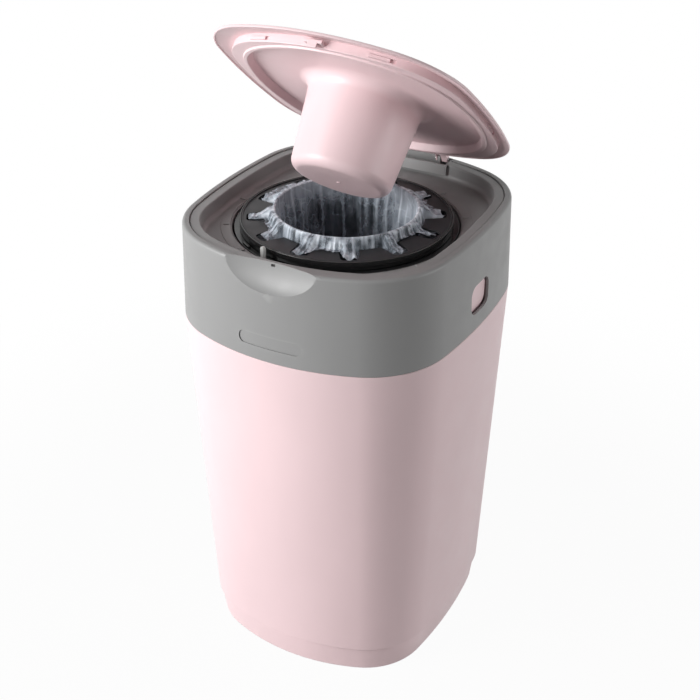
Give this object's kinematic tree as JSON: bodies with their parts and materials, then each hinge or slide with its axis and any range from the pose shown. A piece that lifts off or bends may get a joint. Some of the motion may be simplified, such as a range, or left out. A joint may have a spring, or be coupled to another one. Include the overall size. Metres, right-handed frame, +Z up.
{
  "type": "nappy bin",
  "caption": "Tall tapered nappy bin with a lift-off top, a film cassette on a click turntable, and a hinged lid with a plunger, shown part open.",
  "frame": {"origin": "middle of the footprint, on the floor", "axes": "+Z up, -Y the front with the finger scoop, +Y the lid's hinge, X across"},
  "size_m": [0.2596, 0.2874, 0.6109],
  "materials": {
    "pale_pink_plastic": "satin moulded plastic",
    "grey_plastic": "fine matt texture",
    "light_grey_plastic": "satin moulded plastic",
    "black_plastic": "satin moulded plastic",
    "film": "thin crumpled translucent film",
    "steel": "drawn pin"
  },
  "bodies": {
    "tub": {"tub": "pale_pink_plastic"},
    "release_tab_right": {"release_tab_right": "pale_pink_plastic"},
    "release_tab_left": {"release_tab_left": "pale_pink_plastic"},
    "top_unit": {"collar": "grey_plastic", "deck": "grey_plastic", "hinge_pin_right": "steel", "hinge_pin_left": "steel"},
    "click_pawl": {"click_pawl": "light_grey_plastic"},
    "turntable": {"carrier": "black_plastic", "carrier_lock_ring": "black_plastic", "cassette_body": "black_plastic", "cassette_plate": "black_plastic", "film_pack": "film", "film_sleeve": "film"},
    "lid": {"lid_cover": "pale_pink_plastic", "lid_liner": "pale_pink_plastic", "lid_latch": "pale_pink_plastic"}
  },
  "joints": [
    {"name": "top_lift", "type": "slide", "parent": "tub", "child": "top_unit", "axis": [0, 0, 1], "range_m": [0, 0.2]},
    {"name": "lid_hinge", "type": "hinge", "parent": "top_unit", "child": "lid", "pos_m": [0, 0.1325, 0.43], "axis": [-1, 0, 0], "range_deg": [-39.88, 50]},
    {"name": "turntable_twist", "type": "hinge", "parent": "top_unit", "child": "turntable", "pos_m": [0, -0.0061, 0.4], "axis": [0, 0, 1], "continuous": true},
    {"name": "click_pawl_slide", "type": "slide", "parent": "top_unit", "child": "click_pawl", "axis": [-0.2588, -0.9659, 0], "range_m": [0, 0.0015], "stiffness_N_per_m": 900},
    {"name": "release_tab_right_press", "type": "hinge", "parent": "tub", "child": "release_tab_right", "pos_m": [0.12351, 0, 0.3527], "axis": [0, -1, 0], "range_deg": [0, 12], "stiffness_Nm_per_rad": 0.8},
    {"name": "release_tab_left_press", "type": "hinge", "parent": "tub", "child": "release_tab_left", "pos_m": [-0.12351, 0, 0.3527], "axis": [0, 1, 0], "range_deg": [0, 12], "stiffness_Nm_per_rad": 0.8}
  ]
}
